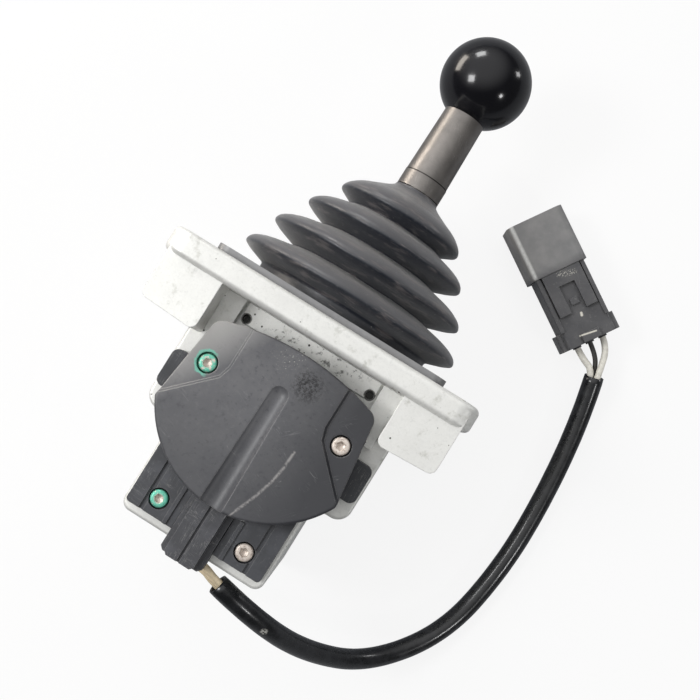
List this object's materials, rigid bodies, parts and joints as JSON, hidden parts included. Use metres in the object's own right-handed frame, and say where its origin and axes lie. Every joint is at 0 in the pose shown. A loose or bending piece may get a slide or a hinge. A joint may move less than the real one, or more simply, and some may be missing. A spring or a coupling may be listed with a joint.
{
  "type": "single-axis electronic control lever",
  "caption": "Spring-centred hand control lever with a ball knob, bellows boot, cast flanged housing, angle sensor cover and a sleeved lead to a sealed connector.",
  "frame": {"origin": "where the lever's pivot axis meets the rear rest face", "axes": "+Z out of the rest face towards the sensor cover, +Y along the lever at rest towards the knob, +X across the flange"},
  "size_m": [0.187, 0.2606, 0.112],
  "materials": {
    "cast_aluminium": "bare pressure die casting, slightly porous",
    "zinc_steel": "zinc plated",
    "dark_steel": "phosphated",
    "bronze": "sintered bronze",
    "gasket_fibre": "plain",
    "knob_plastic": "polished phenolic",
    "tube_metal": "satin anodised, grey brown",
    "boot_rubber": "moulded, dusty sheen",
    "cover_plastic": "glass filled, fine grain, scratched",
    "sleeve_plastic": "soft glossy sleeving",
    "wire_insulation": "cream insulation",
    "connector_plastic": "moulded, satin",
    "seal_rubber": "silicone",
    "contact_brass": "plated contacts",
    "board_laminate": "circuit board",
    "magnet_ferrite": "sintered magnet"
  },
  "bodies": {
    "housing": {"housing_casting": "cast_aluminium", "rear_cover": "cast_aluminium", "rear_gasket": "gasket_fibre", "rear_cover_screws": "zinc_steel", "front_bushing": "bronze", "rear_bushing": "bronze", "boot": "boot_rubber", "boot_retainer": "dark_steel", "retainer_screws": "dark_steel", "spring_left": "dark_steel", "spring_right": "dark_steel", "sensor_base": "cover_plastic", "sensor_cover": "cover_plastic", "cover_screws": "zinc_steel", "lower_plate": "cover_plastic", "plate_screws": "zinc_steel", "cable_trough": "cover_plastic", "sensor_board": "board_laminate", "exit_wires": "wire_insulation", "harness_sleeve": "sleeve_plastic", "plug_wires": "wire_insulation", "connector_housing": "connector_plastic", "connector_lock": "connector_plastic", "connector_pins": "contact_brass", "wire_seal": "seal_rubber"},
    "lever": {"pivot_shaft": "zinc_steel", "retaining_ring": "dark_steel", "thrust_spacers": "zinc_steel", "lever_hub": "dark_steel", "hub_pins": "zinc_steel", "lever_rod": "zinc_steel", "lower_collar": "tube_metal", "handle_tube": "tube_metal", "ball_knob": "knob_plastic", "magnet_holder": "bronze", "sensor_magnet": "magnet_ferrite"},
    "left_plunger": {"plunger_left": "zinc_steel"},
    "right_plunger": {"plunger_right": "zinc_steel"}
  },
  "joints": [
    {"name": "lever_tilt", "type": "hinge", "parent": "housing", "child": "lever", "pos_m": [0, 0, 0.056], "axis": [0, 0, 1], "range_deg": [-20, 20], "stiffness_Nm_per_rad": 4, "deforming": ["boot"]},
    {"name": "left_press", "type": "slide", "parent": "housing", "child": "left_plunger", "axis": [0, 1, 0], "range_m": [-0.0065, 0.0065], "deforming": ["spring_left"]},
    {"name": "right_press", "type": "slide", "parent": "housing", "child": "right_plunger", "axis": [0, 1, 0], "range_m": [-0.0065, 0.0065], "deforming": ["spring_right"]}
  ],
  "couplings": [
    {"joint": "left_press", "follows": "lever_tilt", "m_per_rad": -0.018},
    {"joint": "right_press", "follows": "lever_tilt", "m_per_rad": 0.018}
  ]
}
